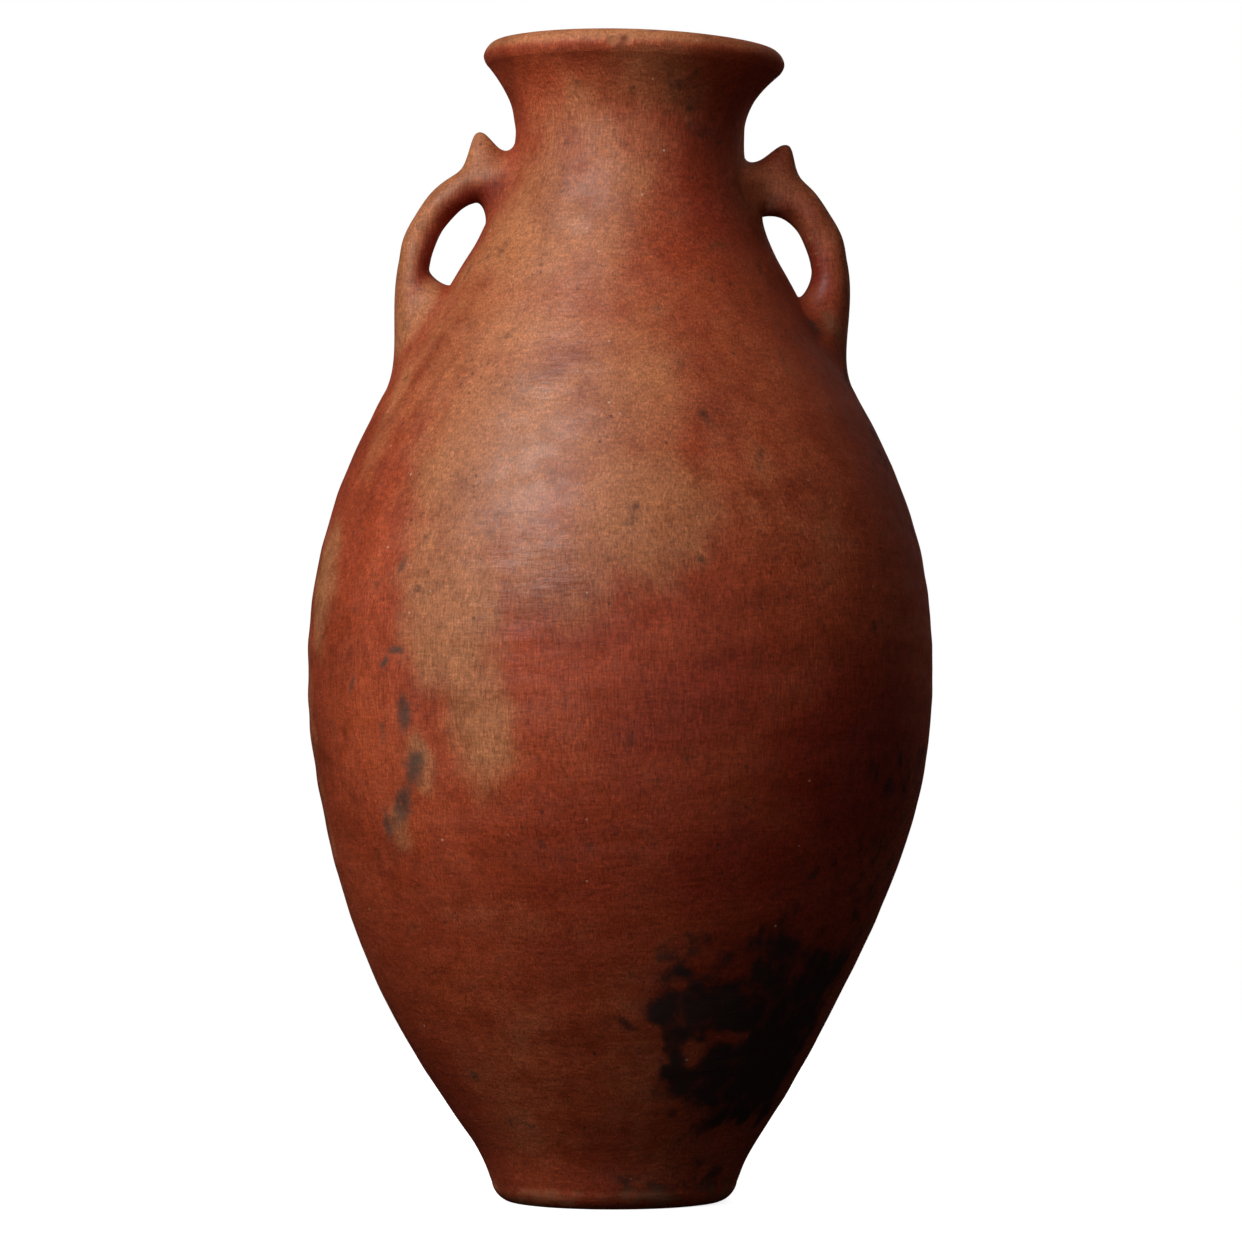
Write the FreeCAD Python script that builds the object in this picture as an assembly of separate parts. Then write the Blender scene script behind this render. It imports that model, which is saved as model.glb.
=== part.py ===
"""A hand-built clay amphora: a coil-built jar with a flat foot, a flared lip and two horned handles.

Millimetres, +Z up. The origin is the centre of the foot's resting face, +X points through the right handle.
The pieces are the ones that the potter forms one by one and lutes together before firing: a base disc, four
courses of coiled wall, a neck, a lip coil, and for each handle a rolled strap, two root wads and a horn.
Each piece is a closed solid, and neighbours meet face to face at their luted joints.
The jar isn't quite true: its middle line drifts sideways as it rises, and its neck is tilted towards +X.
"""

import FreeCAD
import Part

import math
import os

from FreeCAD import Placement, Rotation, Vector

# ---- Body: outer radii, and how far each station stands above the one below it ----
FOOT_REST_RADIUS = 55.5
FOOT_EDGE_RADIUS = 63.5
FOOT_EDGE_HEIGHT = 9.5
FOOT_JOINT_RADIUS = 69.5
FOOT_JOINT_HEIGHT = 25.0
BELLY_RADIUS = 162.2
BELLY_RISE = 243.0
THROAT_RADIUS = 59.0
THROAT_RISE = 284.0
LIP_JOINT_RADIUS = 76.0
LIP_JOINT_RISE = 36.0

BELLY_HEIGHT = FOOT_JOINT_HEIGHT + BELLY_RISE
THROAT_HEIGHT = BELLY_HEIGHT + THROAT_RISE
LIP_JOINT_HEIGHT = THROAT_HEIGHT + LIP_JOINT_RISE

# ---- How full each stretch of the outline is: the powers of its curves ----
LOWER_FULLNESS = 1.86
SHOULDER_FULLNESS = 2.39
FLARE_SWEEP = 2.2

# ---- Wall thickness, measured level, at each of the radii above ----
FOOT_WALL = 13.0
BELLY_WALL = 10.0
NECK_WALL = 8.5
LIP_WALL = 10.0
FLOOR_THICKNESS = 14.0
FLOOR_COVE = 14.5
# Shares of the way out and up at which the foot's worn edge and the floor's cove bulge most.
FOOT_EDGE_BULGE = (0.68, 0.4)
FLOOR_COVE_BULGE = (0.66, 0.3)

# ---- Lip coil: how far out from the lip joint's radius, and how far above it ----
LIP_NOSE = (1.9, 4.0)
LIP_BAND = (0.4, 7.4)
LIP_CREST = (-4.0, 12.0)
LIP_INNER_EDGE_SETBACK = 1.4
LIP_INNER_EDGE_RISE = 9.6

# ---- Courses of coiled wall, each left to stiffen before the next: (name, top, loft steps) ----
COURSES = (
    ("lower_wall", FOOT_JOINT_HEIGHT + 0.473 * BELLY_RISE, 4),
    ("lower_belly_wall", BELLY_HEIGHT, 4),
    ("upper_belly_wall", BELLY_HEIGHT + 0.423 * THROAT_RISE, 4),
    ("shoulder_wall", BELLY_HEIGHT + 0.835 * THROAT_RISE, 5),
    ("neck", LIP_JOINT_HEIGHT, 6),
)

# ---- Where the middle line has drifted to along X, at shares of the wall's height ----
DRIFT = ((0.0, -3.5), (0.13, -5.2), (0.36, 0.0), (0.755, 0.6), (1.0, 5.7))
NECK_TILT = 1.9

# ---- Handles ----
UPPER_ROOT_DROP = 25.0
HANDLE_HEIGHT = 90.0
UPPER_ROOT_HEIGHT = THROAT_HEIGHT - UPPER_ROOT_DROP
LOWER_ROOT_HEIGHT = UPPER_ROOT_HEIGHT - HANDLE_HEIGHT
STRAP_WIDTH = 24.0
STRAP_SET_BACK = 1.4
# Middle of the strap: share of the way out from the throat, share of the way down between the roots.
STRAP_PATH = (
    (-0.17, 0.0),
    (0.44, 0.035),
    (0.73, 0.18),
    (0.89, 0.33),
    (0.98, 0.52),
    (1.0, 0.69),
    (0.95, 0.96),
    (0.85, 1.22),
)
STRAP_SECTIONS = 8
# Root wads: shares of the strap's length, how much they swell, and how far they swell to the inner side.
UPPER_WAD_END = 0.21
LOWER_WAD_START = 0.61
WAD_SECTIONS = 4
UPPER_WAD_SWELL = 2.5
LOWER_WAD_SWELL = 2.15
UPPER_WAD_INWARD = 0.2
LOWER_WAD_INWARD = 0.85
HORN_INSET = 1.0
HORN_BASE_RADIUS = STRAP_WIDTH / 2 - HORN_INSET
HORN_TIP_RADIUS = 3.0
# Each side as it was made: name, way along X, strap thickness, the horn's place along the strap as a share
# of its length, and how far its tip rises and leans outwards.
HANDLES = (
    ("left", -1, 16.5, 0.16, 22.0, 1.0),
    ("right", 1, 18.5, 0.22, 19.5, 4.0),
)

FAR = 2.0 * LIP_JOINT_HEIGHT


def smooth(share):
    """Eases from 0 to 1, level at both ends."""
    share = min(1.0, max(0.0, share))
    return share * share * (3.0 - 2.0 * share)


def drift(height):
    """Sideways place of the middle line, eased from one station to the next."""
    share = (height - FOOT_JOINT_HEIGHT) / (LIP_JOINT_HEIGHT - FOOT_JOINT_HEIGHT)
    for (low, start), (high, end) in zip(DRIFT, DRIFT[1:]):
        if share <= high:
            break
    return start + (end - start) * smooth((share - low) / (high - low))


def ring_frame(height):
    """Frame of the ring at this height: on the middle line, tilted more and more towards the neck."""
    tilt = NECK_TILT * smooth((height - BELLY_HEIGHT) / (THROAT_HEIGHT - BELLY_HEIGHT))
    return Placement(Vector(drift(height), 0, height), Rotation(Vector(0, 1, 0), tilt))


def wall_radius(height, foot, belly, throat, lip):
    """Radius of one skin of the wall: a full lower curve, an S over the shoulder, and a flare to the lip."""
    if height <= BELLY_HEIGHT:
        below = (BELLY_HEIGHT - height) / (BELLY_HEIGHT - FOOT_JOINT_HEIGHT)
        return belly - (belly - foot) * below**LOWER_FULLNESS
    if height <= THROAT_HEIGHT:
        above = (height - BELLY_HEIGHT) / (THROAT_HEIGHT - BELLY_HEIGHT)
        return throat + (belly - throat) * (1.0 - above**SHOULDER_FULLNESS) ** 2
    flare = (height - THROAT_HEIGHT) / (LIP_JOINT_HEIGHT - THROAT_HEIGHT)
    return throat + (lip - throat) * flare**FLARE_SWEEP


def outer_radius(height):
    return wall_radius(height, FOOT_JOINT_RADIUS, BELLY_RADIUS, THROAT_RADIUS, LIP_JOINT_RADIUS)


def inner_radius(height):
    return wall_radius(
        height,
        FOOT_JOINT_RADIUS - FOOT_WALL,
        BELLY_RADIUS - BELLY_WALL,
        THROAT_RADIUS - NECK_WALL,
        LIP_JOINT_RADIUS - LIP_WALL,
    )


def ring_heights():
    """Heights of the rings that the wall is lofted through, evenly spaced within each course."""
    heights = [FOOT_JOINT_HEIGHT]
    for _, top, steps in COURSES:
        start = heights[-1]
        heights += [start + (top - start) * (step + 1) / steps for step in range(steps)]
    return heights


def skin(radius_at):
    """Solid inside one skin of the wall, from the foot joint to the lip joint."""
    rings = []
    for height in ring_heights():
        ring = Part.makeCircle(radius_at(height))
        ring.Placement = ring_frame(height)
        rings.append(Part.Wire([ring]))
    return Part.makeLoft(rings, True)


def above(height):
    """Block that takes in everything above the joint plane at this height."""
    block = Part.makeBox(2 * FAR, 2 * FAR, FAR, Vector(-FAR, -FAR, 0))
    block.Placement = ring_frame(height)
    return block


def wall_courses(outer):
    """The wall cut at its luted joints into one ring per course."""
    wall = outer.cut(skin(inner_radius))
    courses = {}
    for name, top, _ in COURSES[:-1]:
        courses[name] = wall.cut(above(top))
        wall = wall.common(above(top))
    courses[COURSES[-1][0]] = wall
    return courses


def turned(outline, height):
    """Solid turned from (radius, rise) edges round the middle line at this height."""
    solid = Part.Face(Part.Wire(outline)).revolve(Vector(0, 0, 0), Vector(0, 0, 1), 360)
    solid.Placement = ring_frame(height)
    return solid


def at(radius, rise):
    return Vector(radius, 0, rise)


def base_disc():
    """Slab of clay with a rounded, worn edge, dished on top to meet the first coil of the wall."""
    floor_top = FLOOR_THICKNESS - FOOT_JOINT_HEIGHT
    inside_radius = FOOT_JOINT_RADIUS - FOOT_WALL
    floor_radius = inside_radius - FLOOR_COVE
    edge_width = FOOT_EDGE_RADIUS - FOOT_REST_RADIUS

    under, rest = at(0, -FOOT_JOINT_HEIGHT), at(FOOT_REST_RADIUS, -FOOT_JOINT_HEIGHT)
    edge = at(FOOT_EDGE_RADIUS, FOOT_EDGE_HEIGHT - FOOT_JOINT_HEIGHT)
    edge_bulge = at(
        FOOT_REST_RADIUS + FOOT_EDGE_BULGE[0] * edge_width,
        FOOT_EDGE_BULGE[1] * FOOT_EDGE_HEIGHT - FOOT_JOINT_HEIGHT,
    )
    outside, inside = at(FOOT_JOINT_RADIUS, 0), at(inside_radius, 0)
    cove_bulge = at(floor_radius + FLOOR_COVE_BULGE[0] * FLOOR_COVE, (1 - FLOOR_COVE_BULGE[1]) * floor_top)
    floor_edge, floor = at(floor_radius, floor_top), at(0, floor_top)
    outline = [
        Part.makeLine(under, rest),
        Part.Arc(rest, edge_bulge, edge).toShape(),
        Part.makeLine(edge, outside),
        Part.makeLine(outside, inside),
        Part.Arc(inside, cove_bulge, floor_edge).toShape(),
        Part.makeLine(floor_edge, floor),
        Part.makeLine(floor, under),
    ]
    return turned(outline, FOOT_JOINT_HEIGHT)


def lip_coil():
    """Last coil of the mouth: a rounded nose outside, a sloping band, a crest and a rounded inner edge."""
    inside_radius = LIP_JOINT_RADIUS - LIP_WALL
    inside, outside = at(inside_radius, 0), at(LIP_JOINT_RADIUS, 0)
    nose, band, crest = (at(LIP_JOINT_RADIUS + out, rise) for out, rise in (LIP_NOSE, LIP_BAND, LIP_CREST))
    inner_edge = at(inside_radius + LIP_INNER_EDGE_SETBACK, LIP_INNER_EDGE_RISE)
    outline = [
        Part.Arc(outside, nose, band).toShape(),
        Part.Arc(band, crest, inner_edge).toShape(),
        Part.makeLine(inner_edge, inside),
        Part.makeLine(inside, outside),
    ]
    return turned(outline, LIP_JOINT_HEIGHT)


def strap_curve():
    """Middle line of the right strap, with the belly's middle line as its Z axis."""
    reach = outer_radius(LOWER_ROOT_HEIGHT) - STRAP_SET_BACK - THROAT_RADIUS
    span = UPPER_ROOT_HEIGHT - LOWER_ROOT_HEIGHT
    curve = Part.BSplineCurve()
    curve.interpolate(
        [Vector(THROAT_RADIUS + out * reach, 0, UPPER_ROOT_HEIGHT - down * span) for out, down in STRAP_PATH]
    )
    return curve


def strap_section(curve, share, thickness, swell, inward):
    """Oval section at this share of the strap's length. A swollen one is set over to the inner side."""
    along = curve.parameterAtDistance(share * curve.length(), curve.FirstParameter)
    ahead = curve.tangent(along)[0]
    inner_side = Vector(ahead.z, 0, -ahead.x)
    middle = curve.value(along) + inner_side * (inward * (swell - 1) * thickness / 2)
    oval = Part.Ellipse(Vector(0, 0, 0), swell * STRAP_WIDTH / 2, thickness / 2 * swell).toShape()
    oval.Placement = Placement(middle, Rotation(Vector(0, 1, 0), Vector(0, 0, 0), ahead, "ZXY"))
    return Part.Wire([oval])


def strap_loft(curve, start, end, count, thickness, swell_at, inward):
    sections = []
    for step in range(count):
        share = start + (end - start) * step / (count - 1)
        sections.append(strap_section(curve, share, thickness, swell_at(share), inward))
    return Part.makeLoft(sections, True)


def upper_swell(share):
    """Swell of the upper wad, from its full size in the neck to the strap's own section."""
    return 1 + (UPPER_WAD_SWELL - 1) * (1 - share / UPPER_WAD_END) ** 2


def lower_swell(share):
    """Swell of the lower wad, from the strap's own section to its full size in the shoulder."""
    left_over = (1 - share) / (1 - LOWER_WAD_START)
    return 1 + (LOWER_WAD_SWELL - 1) * (1 - left_over**2)


def handle_pieces(thickness, horn_place, horn_rise, horn_lean):
    """Strap, two root wads and horn of one handle, as if it were on the right."""
    curve = strap_curve()
    strap = strap_loft(
        curve, UPPER_WAD_END, LOWER_WAD_START, STRAP_SECTIONS, thickness, lambda share: 1.0, 0.0
    )
    upper_wad = strap_loft(
        curve, 0, UPPER_WAD_END, WAD_SECTIONS, thickness, upper_swell, UPPER_WAD_INWARD
    )
    lower_wad = strap_loft(
        curve, LOWER_WAD_START, 1, WAD_SECTIONS, thickness, lower_swell, LOWER_WAD_INWARD
    )
    seat = curve.value(curve.parameterAtDistance(horn_place * curve.length(), curve.FirstParameter))
    rise = Vector(horn_lean, 0, horn_rise)
    horn = Part.makeCone(HORN_BASE_RADIUS, HORN_TIP_RADIUS, rise.Length, seat, rise)
    horn = horn.fuse(Part.makeSphere(HORN_TIP_RADIUS, seat + rise)).removeSplitter()
    horn = horn.cut(strap).cut(upper_wad)
    return {"strap": strap, "upper_wad": upper_wad, "lower_wad": lower_wad, "horn": horn}


def handles(outer):
    """Both handles, set on the neck and shoulder, with their roots cut to the wall's outer skin."""
    pieces = {}
    for side, way, thickness, horn_place, horn_rise, horn_lean in HANDLES:
        for name, piece in handle_pieces(thickness, horn_place, horn_rise, horn_lean).items():
            if way < 0:
                piece = piece.mirror(Vector(0, 0, 0), Vector(1, 0, 0))
            piece.translate(Vector(drift(LOWER_ROOT_HEIGHT), 0, 0))
            pieces[f"{side}_handle_{name}"] = piece.cut(outer)
    return pieces


def main():
    outer = skin(outer_radius)
    nodes = {"base_disc": base_disc()}
    nodes.update(wall_courses(outer))
    nodes["lip_coil"] = lip_coil()
    nodes.update(handles(outer))
    os.makedirs("parts", exist_ok=True)
    for name, shape in nodes.items():
        shape.exportStep(os.path.join("parts", f"{name}.step"))
        box = shape.BoundBox
        print(
            f"{name}: {len(shape.Solids)} solid, valid {shape.isValid()}, {shape.Volume / 1000:.1f} cm3,"
            f" x {box.XMin:.1f} to {box.XMax:.1f}, z {box.ZMin:.1f} to {box.ZMax:.1f}"
        )


main()
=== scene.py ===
"""Hand-built, burnished and open-fired clay amphora: the finished surfaces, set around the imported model."""

import math

import bpy
import numpy as np
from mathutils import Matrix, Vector


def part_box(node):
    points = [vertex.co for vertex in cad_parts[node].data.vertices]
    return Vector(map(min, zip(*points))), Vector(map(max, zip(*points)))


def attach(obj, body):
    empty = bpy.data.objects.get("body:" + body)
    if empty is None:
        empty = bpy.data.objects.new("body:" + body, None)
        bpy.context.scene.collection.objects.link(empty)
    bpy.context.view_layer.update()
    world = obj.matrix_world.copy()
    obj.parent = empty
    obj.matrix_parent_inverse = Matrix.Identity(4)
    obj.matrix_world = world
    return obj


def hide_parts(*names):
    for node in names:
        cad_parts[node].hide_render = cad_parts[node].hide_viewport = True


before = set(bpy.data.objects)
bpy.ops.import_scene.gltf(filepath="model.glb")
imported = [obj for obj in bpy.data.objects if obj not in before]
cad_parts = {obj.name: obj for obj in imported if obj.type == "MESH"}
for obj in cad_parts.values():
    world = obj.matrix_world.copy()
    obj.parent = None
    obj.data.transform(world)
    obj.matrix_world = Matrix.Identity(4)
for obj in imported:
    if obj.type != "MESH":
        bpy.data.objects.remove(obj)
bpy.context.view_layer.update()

MM = 0.001
FRONT, RIGHT, LEFT = -math.pi / 2, 0.0, math.pi

# ---- Sizes of the body, from the frame where it has them ----
foot_low, foot_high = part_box("base_disc")
belly_low, belly_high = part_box("lower_belly_wall")
lower_wall_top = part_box("lower_wall")[1].z
lip_low, lip_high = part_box("lip_coil")

FOOT_TOP, FOOT_RADIUS = foot_high.z, (foot_high.y - foot_low.y) / 2
BELLY, BELLY_RADIUS = belly_high.z, (belly_high.y - belly_low.y) / 2
THROAT, THROAT_RADIUS = BELLY + 284 * MM, 59.0 * MM
LIP_NOSE = 1.9 * MM
LIP, LIP_RADIUS = THROAT + 36 * MM, (lip_high.y - lip_low.y) / 2 - LIP_NOSE
SHOULDER_JOINT, NECK_JOINT = (BELLY + share * (THROAT - BELLY) for share in (0.423, 0.835))
COURSES = {
    "lower_wall": (FOOT_TOP, lower_wall_top),
    "lower_belly_wall": (lower_wall_top, BELLY),
    "upper_belly_wall": (BELLY, SHOULDER_JOINT),
    "shoulder_wall": (SHOULDER_JOINT, NECK_JOINT),
    "neck": (NECK_JOINT, LIP),
}
LOWER_FULLNESS, SHOULDER_FULLNESS, FLARE_SWEEP = 1.86, 2.39, 2.2
OUTLINE = (FOOT_RADIUS, BELLY_RADIUS, THROAT_RADIUS, LIP_RADIUS)
THICKNESS = (13 * MM, 10 * MM, 8.5 * MM, 10 * MM)
DRIFT_AT = FOOT_TOP + (LIP - FOOT_TOP) * np.array((0.0, 0.13, 0.36, 0.755, 1.0))
DRIFT = np.array((-3.5, -5.2, 0.0, 0.6, 5.7)) * MM
LEAN = math.radians(1.9)
NECK_SHIFT, MOUTH_SHIFT, MOUTH_DIP = -0.5 * MM, 2.0 * MM, 1.0 * MM
FOOT_CREASE, FOOT_SOFTENING = 0.32, 9 * MM
ROUND = 640
SHARP_EDGE = math.radians(40)


# ---- The wall as a surface over bearing and height ----


def ease(share):
    """0 to 1 with level ends: 3 s squared minus 2 s cubed."""
    share = np.clip(share, 0.0, 1.0)
    return share * share * (3.0 - 2.0 * share)


def middle(height):
    """Where the middle line stands along X at a height: eased from each station of its drift to the next,
    a little back above the throat, and further over at the mouth."""
    step = np.clip(np.searchsorted(DRIFT_AT, height, side="right") - 1, 0, len(DRIFT) - 2)
    share = (height - DRIFT_AT[step]) / (DRIFT_AT[step + 1] - DRIFT_AT[step])
    at_mouth = MOUTH_SHIFT * ease((height - THROAT - 20 * MM) / (20 * MM))
    at_neck = NECK_SHIFT * ease((height - THROAT) / (9 * MM))
    return DRIFT[step] + (DRIFT[step + 1] - DRIFT[step]) * ease(share) + (at_mouth + at_neck)


def along_wall(height, foot, belly, throat, lip):
    """A size that changes up the wall: a power curve from foot to belly, an S from belly to throat that
    leaves the belly as a power curve and is squared towards the throat, and a power curve out to the lip."""
    below = np.clip((BELLY - height) / (BELLY - FOOT_TOP), 0, None)
    above = np.clip((height - BELLY) / (THROAT - BELLY), 0, 1)
    flare = np.clip((height - THROAT) / (LIP - THROAT), 0, None)
    low = belly - (belly - foot) * below**LOWER_FULLNESS
    high = throat + (belly - throat) * (1 - above**SHOULDER_FULLNESS) ** 2
    return np.where(height < BELLY, low, high + (lip - throat) * flare**FLARE_SWEEP)


def swells(bearing, height, seed, turns, pitch, count=26):
    """Smooth random swells of about unit size: a sum of cosines, each with a whole number of turns round the
    jar, up to turns, and a slant up it, down to one crest in each pitch."""
    rng = np.random.default_rng(seed)
    around = rng.integers(-turns, turns + 1, count)
    upward = rng.uniform(-2 * math.pi / pitch, 2 * math.pi / pitch, count)
    phase = rng.uniform(0, 2 * math.pi, count)
    waves = zip(around, upward, phase)
    return sum(np.cos(n * bearing + k * height + p) for n, k, p in waves) / math.sqrt(count / 2)


def hand_marks(bearing, height):
    """How far the outer skin stands out from true: slow swells, low ridges of the coils, shallow upright
    strokes of the burnishing stone and fine level throws, each in mm, and clay that fills the crease over
    the foot, a parabola that takes up the crease's change of slope."""
    slow = 0.35 * swells(bearing, height, 11, 3, 0.30)
    coils = 0.09 * swells(bearing, height, 12, 7, 0.021) * (1 + 0.6 * swells(bearing, height, 13, 3, 0.2))
    strokes = 0.022 * swells(bearing, height, 14, 60, 0.11)
    throws = 0.040 * swells(bearing, height, 15, 34, 0.013, 64)
    near_foot = np.clip(1 - np.abs(height - FOOT_TOP) / FOOT_SOFTENING, 0, None)
    softened = FOOT_CREASE * FOOT_SOFTENING / 4 * near_foot**2
    return (slow + coils + strokes + throws) * MM + softened


def skin(bearing, height, depth=0.0, radius=None):
    """Point of the wall at a bearing and height, depth metres under the outer skin: the radius there,
    carried round the middle line, on a ring that leans towards +X more and more from the belly to the
    throat. The mouth dips a little at both sides, by the cosine of twice the bearing."""
    if radius is None:
        radius = along_wall(height, *OUTLINE)
    reach = radius + hand_marks(bearing, height) - depth
    lean = LEAN * ease((height - BELLY) / (THROAT - BELLY))
    across, away = reach * np.cos(bearing), reach * np.sin(bearing)
    x = middle(np.minimum(height, LIP)) + across * np.cos(lean)
    z = np.minimum(height, LIP) - across * np.sin(lean)
    over = np.maximum(height - LIP, 0)
    z = z - MOUTH_DIP * np.cos(2 * bearing) * ease((height - THROAT) / (LIP - THROAT))
    return np.stack(np.broadcast_arrays(x + over * np.sin(lean), away, z + over * np.cos(lean)), -1)


# ---- Meshes ----


def grid_faces(rows, columns, loops):
    """Quads between the rows of a grid that closes round its columns, and, if it loops, round its rows."""
    row = np.arange(rows if loops else rows - 1)[:, None]
    column = np.arange(columns)[None, :]
    here, ahead = row * columns, (row + 1) % rows * columns
    turn = (column + 1) % columns
    return np.stack([here + column, here + turn, ahead + turn, ahead + column], -1).reshape(-1, 4)


def fan(ring, pole):
    """Triangles from the points of a ring to one pole."""
    return np.stack([ring, np.roll(ring, -1), np.full_like(ring, pole)], -1)


def signed_volume(points, faces):
    """Six times the volume inside the faces: the sum of each corner triangle's triple product."""
    first = points[faces[:, 0]]
    total = 0.0
    for step in range(1, faces.shape[1] - 1):
        total += np.einsum("ij,ij->", first, np.cross(points[faces[:, step]], points[faces[:, step + 1]]))
    return total


def closed_piece(name, grid, poles=None):
    """Closed mesh from a grid of points, rows by columns. Without poles the rows loop too; with them, the
    first and last rows are fanned to the two points. The faces are turned outwards."""
    rows, columns = grid.shape[:2]
    points = grid.reshape(-1, 3)
    quads = grid_faces(rows, columns, poles is None)
    fans = np.empty((0, 3), int)
    if poles is not None:
        points = np.vstack([points, poles])
        first, last = np.arange(columns), np.arange(columns) + (rows - 1) * columns
        fans = np.vstack([fan(first, len(points) - 2)[:, ::-1], fan(last, len(points) - 1)])
    if signed_volume(points, quads) + signed_volume(points, fans) < 0:
        quads, fans = quads[:, ::-1], fans[:, ::-1]
    mesh = bpy.data.meshes.new(name)
    mesh.from_pydata(points, [], quads.tolist() + fans.tolist())
    mesh.polygons.foreach_set("use_smooth", np.ones(len(mesh.polygons), bool))
    mesh.set_sharp_from_angle(angle=SHARP_EDGE)
    mesh.validate()
    piece = bpy.data.objects.new(name, mesh)
    bpy.context.scene.collection.objects.link(piece)
    return piece


def points_of(piece):
    co = np.empty(len(piece.data.vertices) * 3, np.float32)
    piece.data.vertices.foreach_get("co", co)
    return co.reshape(-1, 3).astype(float)


def store(piece, name, values):
    """Keeps one number for each point of the mesh, for the materials to read by name."""
    layer = piece.data.attributes.new(name, "FLOAT", "POINT")
    layer.data.foreach_set("value", np.ascontiguousarray(values, np.float32))


# ---- Where the slip is red, tan, smoked or worn, and where light and shade are painted ----


def stain(bearing, height, at, size, turn=0.0, edge=0.5):
    """Soft-edged oval stain, 1 inside and 0 outside: at is its bearing from the front in degrees and its
    height in mm, size its half width and half height in mm, turn its slant in degrees, and edge how much of
    its radius the fade takes."""
    local = along_wall(height, *OUTLINE)
    gap = (bearing - FRONT - math.radians(at[0]) + math.pi) % (2 * math.pi) - math.pi
    wide, tall = gap * local, height - at[1] * MM
    slant = math.radians(turn)
    across = (wide * math.cos(slant) + tall * math.sin(slant)) / (size[0] * MM)
    up = (tall * math.cos(slant) - wide * math.sin(slant)) / (size[1] * MM)
    return ease((1 + edge - np.hypot(across, up)) / (2 * edge))


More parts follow.
